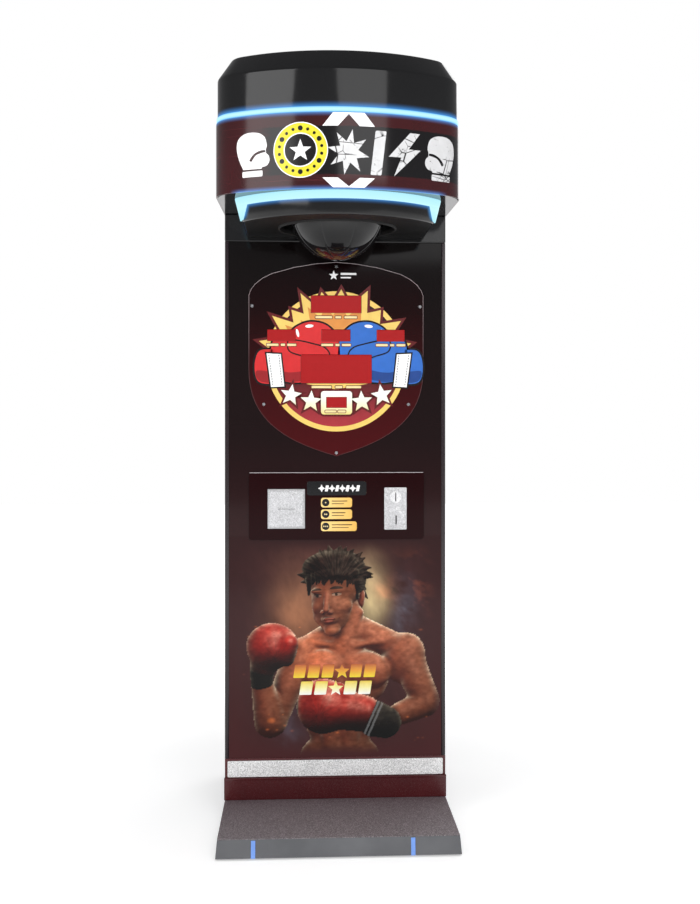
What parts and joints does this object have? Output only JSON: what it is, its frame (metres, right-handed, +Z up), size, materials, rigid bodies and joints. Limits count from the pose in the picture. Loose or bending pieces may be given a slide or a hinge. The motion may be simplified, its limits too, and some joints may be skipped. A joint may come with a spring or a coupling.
{
  "type": "boxing punch machine",
  "caption": "Tall arcade punch tester: cabinet with score shield and coin panel on a tread base, and a lit drum head whose black punch ball drops and swings.",
  "frame": {"origin": "on the floor, in the middle of the machine's outer box", "axes": "+Z up; the player stands on the -Y side; +X is to the player's right"},
  "size_m": [0.676, 0.942, 2.18],
  "materials": {
    "base_steel": "grey powder coat, satin",
    "tread": "coarse anti-slip grit, grey",
    "blue_light": "light blue lens, lit",
    "bare_steel": "zinc plated",
    "rubber": "black, matt",
    "red_paint": "dark red, satin",
    "scuff_metal": "grainy silver",
    "side_paint": "black-brown, gloss",
    "trim": "dark grey edge, gloss",
    "frame_paint": "black primer",
    "plywood": "plywood, sealed",
    "front_gloss": "printed sheet, high gloss",
    "rear_paint": "black, textured",
    "chrome": "polished",
    "brass": "satin",
    "black_plastic": "moulded, matt",
    "red_plastic": "moulded, gloss",
    "galvanised": "galvanised sheet",
    "circuit": "green circuit board",
    "coin_gloss": "very dark red, high gloss",
    "grain_metal": "cast, grainy silver",
    "disc_metal": "bright silver",
    "label": "amber label film",
    "shield_gloss": "printed acrylic, gloss",
    "window_red": "translucent red",
    "head_black": "black, high gloss",
    "drum_graphic": "dark red print, gloss",
    "led_white": "diffuser, lit ice blue",
    "under_black": "black, rough grain",
    "well_black": "black, matt",
    "ball_black": "black, high gloss"
  },
  "bodies": {
    "cabinet": {"base_tray": "base_steel", "base_tread": "tread", "base_light_strips": "blue_light", "base_ribs": "bare_steel", "rubber_feet": "rubber", "foot_bolts": "bare_steel", "kick_board": "red_paint", "kick_strip": "scuff_metal", "side_panel_left": "side_paint", "side_panel_right": "side_paint", "edge_trims": "trim", "cabinet_frame": "frame_paint", "cabinet_floor": "plywood", "front_board": "plywood", "front_panel": "front_gloss", "rear_panel": "rear_paint", "hinge_frame_leaves": "bare_steel", "hinge_pins": "bare_steel", "fan_body": "black_plastic", "fan_guard": "chrome", "power_inlet": "black_plastic", "switch_body": "black_plastic", "power_supply": "galvanised", "control_board": "circuit", "speaker": "black_plastic", "cash_box": "galvanised", "coin_panel": "coin_gloss", "start_switch": "black_plastic", "coin_faceplate": "grain_metal", "coin_entry_disc": "disc_metal", "coin_mech": "black_plastic", "instruction_labels": "label", "score_shield": "shield_gloss", "score_windows": "window_red", "shield_screws": "chrome", "score_displays": "circuit", "head_rear_housing": "head_black", "drum_lower_shell": "drum_graphic", "drum_led_ring": "led_white", "drum_upper_shell": "head_black", "drum_floor": "head_black", "neck_skirt": "head_black", "neck_led_strip": "led_white", "neck_floor": "under_black", "well_liner": "well_black", "well_bumper": "rubber", "guide_rods": "chrome", "drive_motor": "galvanised"},
    "door": {"service_door": "rear_paint", "hinge_door_leaves": "bare_steel", "lock_barrel": "chrome"},
    "door_lock": {"lock_cam": "brass"},
    "fan": {"fan_rotor": "black_plastic"},
    "power_switch": {"switch_rocker": "red_plastic"},
    "start": {"start_button": "grain_metal"},
    "coin_reject": {"reject_lever": "disc_metal"},
    "carriage": {"ball_carriage": "bare_steel"},
    "lead_screw": {"ball_lead_screw": "bare_steel"},
    "ball": {"punch_ball": "ball_black", "ball_stem": "chrome"}
  },
  "joints": [
    {"name": "ball_drop", "type": "slide", "parent": "cabinet", "child": "carriage", "axis": [0, 0, 1], "range_m": [-0.15, 0.09]},
    {"name": "screw_spin", "type": "hinge", "parent": "cabinet", "child": "lead_screw", "pos_m": [0.15, -0.2215, 1.94], "axis": [0, 0, 1], "range_deg": [-2705, 1625]},
    {"name": "ball_swing", "type": "hinge", "parent": "carriage", "child": "ball", "pos_m": [0, -0.2075, 1.9587], "axis": [1, 0, 0], "range_deg": [-7, 7]},
    {"name": "door_open", "type": "hinge", "parent": "cabinet", "child": "door", "pos_m": [-0.234, 0.465, 0.6], "axis": [0, 0, 1], "range_deg": [0, 110]},
    {"name": "lock_turn", "type": "hinge", "parent": "door", "child": "door_lock", "pos_m": [0.2, 0.45, 0.6], "axis": [0, 1, 0], "range_deg": [-90, 0]},
    {"name": "fan_spin", "type": "hinge", "parent": "cabinet", "child": "fan", "pos_m": [0, 0.436, 1.48], "axis": [0, 1, 0], "continuous": true},
    {"name": "switch_rock", "type": "hinge", "parent": "cabinet", "child": "power_switch", "pos_m": [0.105, 0.458, 0.19], "axis": [1, 0, 0], "range_deg": [-20, 0]},
    {"name": "start_press", "type": "slide", "parent": "cabinet", "child": "start", "axis": [0, 1, 0], "range_m": [0, 0.003], "stiffness_N_per_m": 1500},
    {"name": "reject_press", "type": "hinge", "parent": "cabinet", "child": "coin_reject", "pos_m": [0.185, -0.03, 0.923], "axis": [0, 1, 0], "range_deg": [0, 20], "stiffness_Nm_per_rad": 0.02}
  ],
  "couplings": [
    {"joint": "screw_spin", "follows": "ball_drop", "rad_per_m": 314.16}
  ]
}
